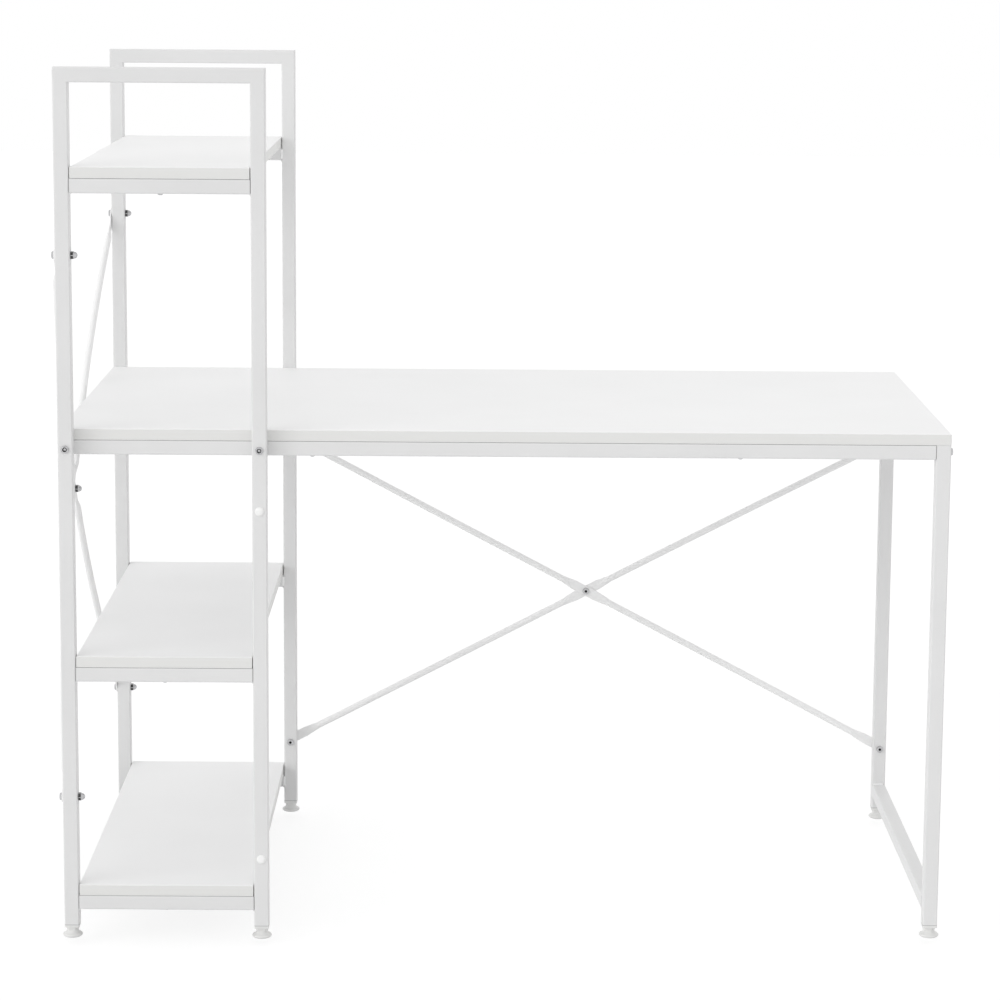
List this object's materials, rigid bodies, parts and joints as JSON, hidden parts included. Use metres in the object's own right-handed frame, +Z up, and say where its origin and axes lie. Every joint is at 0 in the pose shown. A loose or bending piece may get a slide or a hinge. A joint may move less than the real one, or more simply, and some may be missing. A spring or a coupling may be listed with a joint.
{
  "type": "writing desk with shelf tower",
  "caption": "Writing desk with a narrow open shelf tower at its left end, white square-tube frame, white boards, crossed brace rods and screw-in levelling feet.",
  "frame": {"origin": "on the floor under the middle of the whole desk", "axes": "+X along the desk away from the shelf tower, +Y from the sitter to the back, +Z up"},
  "size_m": [1.2314, 0.655, 1.188],
  "materials": {
    "powder_coat_white": "fine satin powder coat",
    "melamine_white": "white melamine-faced chipboard, matt",
    "white_plastic": "moulded white plastic",
    "zinc_steel": "bright zinc plated"
  },
  "bodies": {
    "frame": {"back_bottom_shelf_rail": "powder_coat_white", "back_brace_bolts": "zinc_steel", "back_brace_inner_rod": "powder_coat_white", "back_brace_nuts": "zinc_steel", "back_brace_outer_rod": "powder_coat_white", "back_crossing_bolt": "zinc_steel", "back_crossing_nut": "zinc_steel", "back_left_post": "powder_coat_white", "back_leg": "powder_coat_white", "back_middle_shelf_rail": "powder_coat_white", "back_right_post": "powder_coat_white", "back_top_bar": "powder_coat_white", "back_top_shelf_rail": "powder_coat_white", "bottom_shelf_board": "melamine_white", "desk_back_rail": "powder_coat_white", "desk_front_rail": "powder_coat_white", "desk_left_end_rail": "powder_coat_white", "desk_top_board": "melamine_white", "desk_top_screws": "zinc_steel", "front_bottom_shelf_rail": "powder_coat_white", "front_left_post": "powder_coat_white", "front_leg": "powder_coat_white", "front_middle_shelf_rail": "powder_coat_white", "front_right_post": "powder_coat_white", "front_top_bar": "powder_coat_white", "front_top_shelf_rail": "powder_coat_white", "hole_caps": "white_plastic", "leg_bolts": "zinc_steel", "leg_bottom_bar": "powder_coat_white", "leg_top_bar": "powder_coat_white", "middle_shelf_board": "melamine_white", "post_end_inserts": "white_plastic", "rail_end_nuts": "zinc_steel", "rail_rivet_nuts": "zinc_steel", "shelf_screws": "zinc_steel", "side_brace_bolts": "zinc_steel", "side_brace_inner_rod": "powder_coat_white", "side_brace_nuts": "zinc_steel", "side_brace_outer_rod": "powder_coat_white", "side_crossing_bolt": "zinc_steel", "side_crossing_nut": "zinc_steel", "top_shelf_board": "melamine_white", "tower_bolts": "zinc_steel"},
    "tower_front_left_stud": {"tower_front_left_foot_stud": "zinc_steel"},
    "tower_front_left_base": {"tower_front_left_foot_base": "white_plastic"},
    "tower_front_right_stud": {"tower_front_right_foot_stud": "zinc_steel"},
    "tower_front_right_base": {"tower_front_right_foot_base": "white_plastic"},
    "tower_back_left_stud": {"tower_back_left_foot_stud": "zinc_steel"},
    "tower_back_left_base": {"tower_back_left_foot_base": "white_plastic"},
    "tower_back_right_stud": {"tower_back_right_foot_stud": "zinc_steel"},
    "tower_back_right_base": {"tower_back_right_foot_base": "white_plastic"},
    "leg_front_stud": {"leg_front_foot_stud": "zinc_steel"},
    "leg_front_base": {"leg_front_foot_base": "white_plastic"},
    "leg_back_stud": {"leg_back_foot_stud": "zinc_steel"},
    "leg_back_base": {"leg_back_foot_base": "white_plastic"}
  },
  "joints": [
    {"name": "tower_front_left_foot_height", "type": "slide", "parent": "frame", "child": "tower_front_left_stud", "axis": [0, 0, -1], "range_m": [0, 0.0101]},
    {"name": "tower_front_left_foot_turn", "type": "hinge", "parent": "tower_front_left_stud", "child": "tower_front_left_base", "pos_m": [-0.57778, -0.314, 0], "axis": [0, 0, -1], "range_deg": [0, 2880]},
    {"name": "tower_front_right_foot_height", "type": "slide", "parent": "frame", "child": "tower_front_right_stud", "axis": [0, 0, -1], "range_m": [0, 0.0101]},
    {"name": "tower_front_right_foot_turn", "type": "hinge", "parent": "tower_front_right_stud", "child": "tower_front_right_base", "pos_m": [-0.31778, -0.314, 0], "axis": [0, 0, -1], "range_deg": [0, 2880]},
    {"name": "tower_back_left_foot_height", "type": "slide", "parent": "frame", "child": "tower_back_left_stud", "axis": [0, 0, -1], "range_m": [0, 0.0101]},
    {"name": "tower_back_left_foot_turn", "type": "hinge", "parent": "tower_back_left_stud", "child": "tower_back_left_base", "pos_m": [-0.57778, 0.306, 0], "axis": [0, 0, -1], "range_deg": [0, 2880]},
    {"name": "tower_back_right_foot_height", "type": "slide", "parent": "frame", "child": "tower_back_right_stud", "axis": [0, 0, -1], "range_m": [0, 0.0101]},
    {"name": "tower_back_right_foot_turn", "type": "hinge", "parent": "tower_back_right_stud", "child": "tower_back_right_base", "pos_m": [-0.31778, 0.306, 0], "axis": [0, 0, -1], "range_deg": [0, 2880]},
    {"name": "leg_front_foot_height", "type": "slide", "parent": "frame", "child": "leg_front_stud", "axis": [0, 0, -1], "range_m": [0, 0.0101]},
    {"name": "leg_front_foot_turn", "type": "hinge", "parent": "leg_front_stud", "child": "leg_front_base", "pos_m": [0.60222, -0.294, 0], "axis": [0, 0, -1], "range_deg": [0, 2880]},
    {"name": "leg_back_foot_height", "type": "slide", "parent": "frame", "child": "leg_back_stud", "axis": [0, 0, -1], "range_m": [0, 0.0101]},
    {"name": "leg_back_foot_turn", "type": "hinge", "parent": "leg_back_stud", "child": "leg_back_base", "pos_m": [0.60222, 0.286, 0], "axis": [0, 0, -1], "range_deg": [0, 2880]}
  ],
  "couplings": [
    {"joint": "tower_front_left_foot_height", "follows": "tower_front_left_foot_turn", "m_per_rad": 0.00019894},
    {"joint": "tower_front_right_foot_height", "follows": "tower_front_right_foot_turn", "m_per_rad": 0.00019894},
    {"joint": "tower_back_left_foot_height", "follows": "tower_back_left_foot_turn", "m_per_rad": 0.00019894},
    {"joint": "tower_back_right_foot_height", "follows": "tower_back_right_foot_turn", "m_per_rad": 0.00019894},
    {"joint": "leg_front_foot_height", "follows": "leg_front_foot_turn", "m_per_rad": 0.00019894},
    {"joint": "leg_back_foot_height", "follows": "leg_back_foot_turn", "m_per_rad": 0.00019894}
  ]
}
